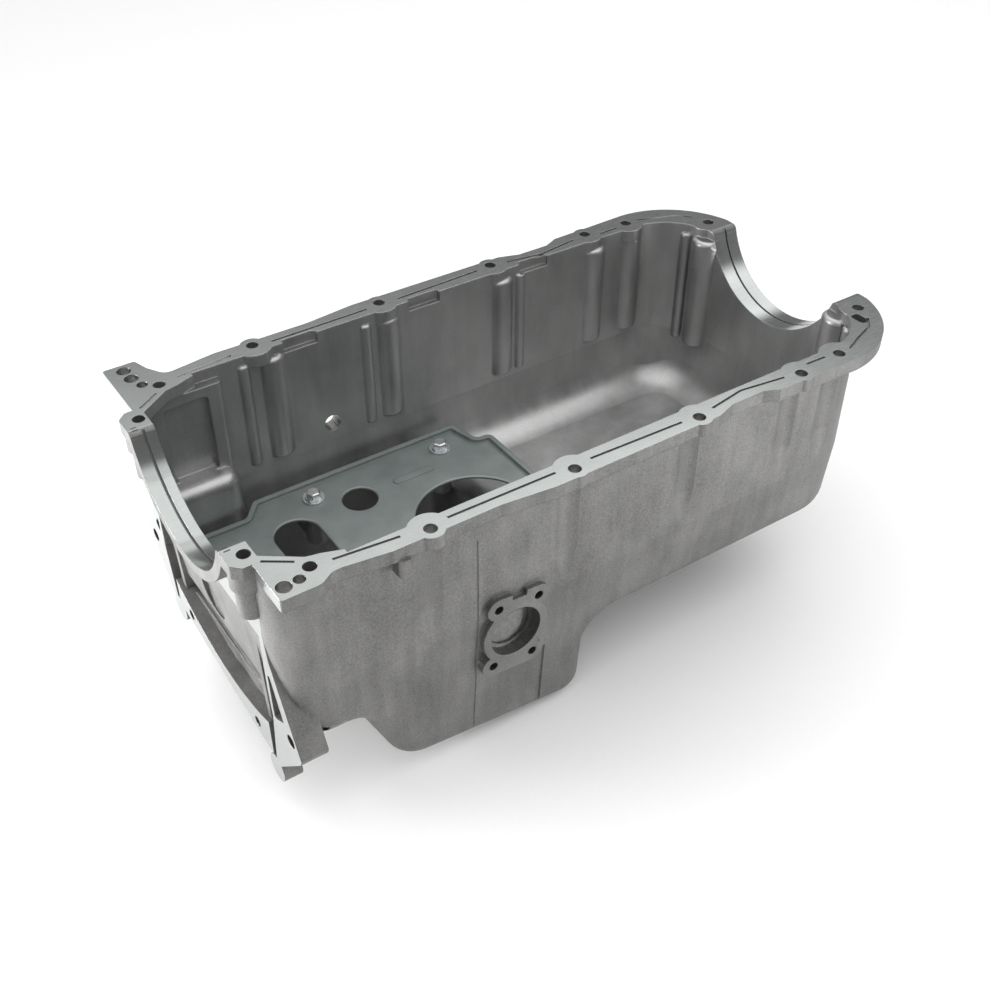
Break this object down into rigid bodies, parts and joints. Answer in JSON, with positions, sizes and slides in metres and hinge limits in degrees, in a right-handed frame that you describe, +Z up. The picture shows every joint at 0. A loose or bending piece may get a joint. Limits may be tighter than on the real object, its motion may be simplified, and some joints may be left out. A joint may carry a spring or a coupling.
{
  "type": "engine oil pan",
  "caption": "Cast light-alloy engine oil pan with a rear sump, flanged gasket rail, crankshaft seal arches, bell housing face, side port and a bolted windage tray.",
  "frame": {"origin": "on the gasket face, midway between the two mid-rail bolt holes", "axes": "+X to the engine's front, +Z up to the engine block, the sump at the -X end"},
  "size_m": [0.542, 0.289, 0.2376],
  "materials": {
    "cast_alloy": "sand cast and shot blasted, milled bright on the gasket and housing faces",
    "tray_sheet": "pressed steel sheet with a dull greenish grey coating",
    "zinc": "bright zinc plating"
  },
  "bodies": {
    "root": {"pan_casting": "cast_alloy", "windage_tray": "tray_sheet", "tray_washer_1": "zinc", "tray_washer_2": "zinc", "tray_washer_3": "zinc", "tray_washer_4": "zinc", "tray_bolt_1": "zinc", "tray_bolt_2": "zinc", "tray_bolt_3": "zinc", "tray_bolt_4": "zinc"}
  },
  "joints": []
}
